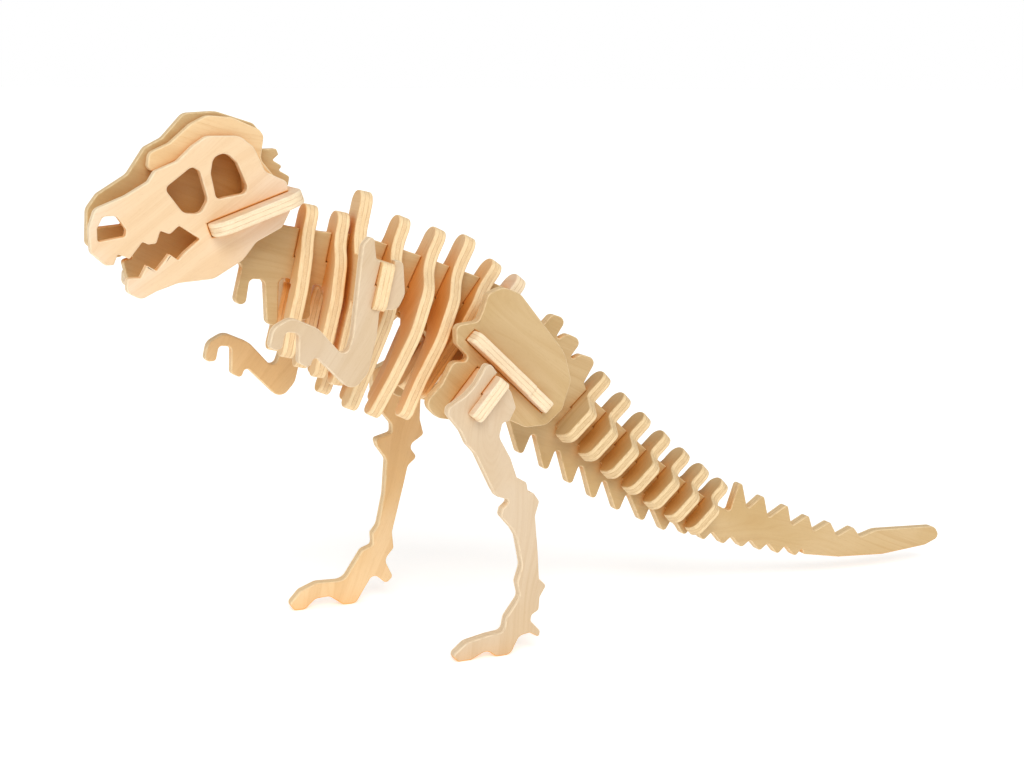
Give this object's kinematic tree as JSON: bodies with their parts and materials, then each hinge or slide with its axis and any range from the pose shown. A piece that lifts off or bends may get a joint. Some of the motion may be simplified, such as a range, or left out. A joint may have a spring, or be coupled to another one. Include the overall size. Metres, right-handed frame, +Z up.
{
  "type": "wooden 3d jigsaw model",
  "caption": "Slot-together plywood skeleton of a standing two-legged dinosaur with toothed skull, arched ribs, small arms, bent legs and long spiked tail.",
  "frame": {"origin": "centre of the model's footprint box, on the surface that the feet stand on", "axes": "+X from snout to tail tip, +Y to the model's right side, +Z up"},
  "size_m": [0.2259, 0.058, 0.1218],
  "materials": {
    "head_ply": "raw sanded plywood",
    "backbone_ply": "raw sanded plywood",
    "body_ply": "raw sanded plywood",
    "tail_ply": "raw sanded plywood",
    "leg_ply": "raw sanded plywood"
  },
  "bodies": {
    "body": {"backbone": "backbone_ply", "hip_plate": "body_ply", "pelvis_plate": "body_ply", "cheek_plate": "head_ply"},
    "rib_1": {"rib_1": "body_ply"},
    "rib_2": {"rib_2": "body_ply"},
    "rib_3": {"rib_3": "body_ply"},
    "rib_4": {"rib_4": "body_ply"},
    "rib_5": {"rib_5": "body_ply"},
    "rib_6": {"rib_6": "body_ply"},
    "rib_7": {"rib_7": "body_ply"},
    "arm_left": {"arm_left": "body_ply"},
    "arm_right": {"arm_right": "body_ply"},
    "leg_left": {"leg_left": "leg_ply"},
    "leg_right": {"leg_right": "leg_ply"},
    "ilium_left": {"ilium_left": "body_ply"},
    "ilium_right": {"ilium_right": "body_ply"},
    "skull_left": {"skull_left": "head_ply"},
    "skull_right": {"skull_right": "head_ply"},
    "crown_left": {"crown_left": "head_ply"},
    "crown_right": {"crown_right": "head_ply"},
    "tail_plate_1": {"tail_plate_1": "tail_ply"},
    "tail_plate_2": {"tail_plate_2": "tail_ply"},
    "tail_plate_3": {"tail_plate_3": "tail_ply"},
    "tail_plate_4": {"tail_plate_4": "tail_ply"},
    "tail_plate_5": {"tail_plate_5": "tail_ply"},
    "tail_plate_6": {"tail_plate_6": "tail_ply"},
    "tail_plate_7": {"tail_plate_7": "tail_ply"}
  },
  "joints": [
    {"name": "rib_1_lift", "type": "slide", "parent": "body", "child": "rib_1", "axis": [0.225, 0, 0.9744], "range_m": [0, 0.0295]},
    {"name": "rib_2_lift", "type": "slide", "parent": "body", "child": "rib_2", "axis": [0.225, 0, 0.9744], "range_m": [0, 0.0327]},
    {"name": "rib_3_lift", "type": "slide", "parent": "body", "child": "rib_3", "axis": [0.225, 0, 0.9744], "range_m": [0, 0.0337]},
    {"name": "rib_4_lift", "type": "slide", "parent": "body", "child": "rib_4", "axis": [0.3746, 0, 0.9272], "range_m": [0, 0.0379]},
    {"name": "rib_5_lift", "type": "slide", "parent": "body", "child": "rib_5", "axis": [0.4384, 0, 0.8988], "range_m": [0, 0.0375]},
    {"name": "rib_6_lift", "type": "slide", "parent": "body", "child": "rib_6", "axis": [0.454, 0, 0.891], "range_m": [0, 0.0355]},
    {"name": "rib_7_lift", "type": "slide", "parent": "body", "child": "rib_7", "axis": [0.5878, 0, 0.809], "range_m": [0, 0.0315]},
    {"name": "arm_left_pull", "type": "slide", "parent": "rib_3", "child": "arm_left", "axis": [-0.225, 0, -0.9744], "range_m": [0, 0.0065]},
    {"name": "arm_right_pull", "type": "slide", "parent": "rib_3", "child": "arm_right", "axis": [-0.225, 0, -0.9744], "range_m": [0, 0.0065]},
    {"name": "leg_left_pull", "type": "slide", "parent": "body", "child": "leg_left", "axis": [-0.6428, 0, -0.766], "range_m": [0, 0.0065]},
    {"name": "leg_right_pull", "type": "slide", "parent": "body", "child": "leg_right", "axis": [-0.6428, 0, -0.766], "range_m": [0, 0.0065]},
    {"name": "ilium_left_slide", "type": "slide", "parent": "body", "child": "ilium_left", "axis": [0, -1, 0], "range_m": [0, 0.0072]},
    {"name": "ilium_right_slide", "type": "slide", "parent": "body", "child": "ilium_right", "axis": [0, 1, 0], "range_m": [0, 0.0072]},
    {"name": "skull_left_slide", "type": "slide", "parent": "body", "child": "skull_left", "axis": [0, -1, 0], "range_m": [0, 0.009]},
    {"name": "skull_right_slide", "type": "slide", "parent": "body", "child": "skull_right", "axis": [0, 1, 0], "range_m": [0, 0.009]},
    {"name": "crown_left_lift", "type": "slide", "parent": "body", "child": "crown_left", "axis": [-0.342, 0, 0.9397], "range_m": [0, 0.005]},
    {"name": "crown_right_lift", "type": "slide", "parent": "body", "child": "crown_right", "axis": [-0.342, 0, 0.9397], "range_m": [0, 0.005]},
    {"name": "tail_plate_1_lift", "type": "slide", "parent": "body", "child": "tail_plate_1", "axis": [0.7314, 0, 0.682], "range_m": [0, 0.015]},
    {"name": "tail_plate_2_lift", "type": "slide", "parent": "body", "child": "tail_plate_2", "axis": [0.7314, 0, 0.682], "range_m": [0, 0.01487]},
    {"name": "tail_plate_3_lift", "type": "slide", "parent": "body", "child": "tail_plate_3", "axis": [0.7314, 0, 0.682], "range_m": [0, 0.01473]},
    {"name": "tail_plate_4_lift", "type": "slide", "parent": "body", "child": "tail_plate_4", "axis": [0.7314, 0, 0.682], "range_m": [0, 0.0146]},
    {"name": "tail_plate_5_lift", "type": "slide", "parent": "body", "child": "tail_plate_5", "axis": [0.7314, 0, 0.682], "range_m": [0, 0.01447]},
    {"name": "tail_plate_6_lift", "type": "slide", "parent": "body", "child": "tail_plate_6", "axis": [0.7314, 0, 0.682], "range_m": [0, 0.01433]},
    {"name": "tail_plate_7_lift", "type": "slide", "parent": "body", "child": "tail_plate_7", "axis": [0.7314, 0, 0.682], "range_m": [0, 0.0142]}
  ]
}
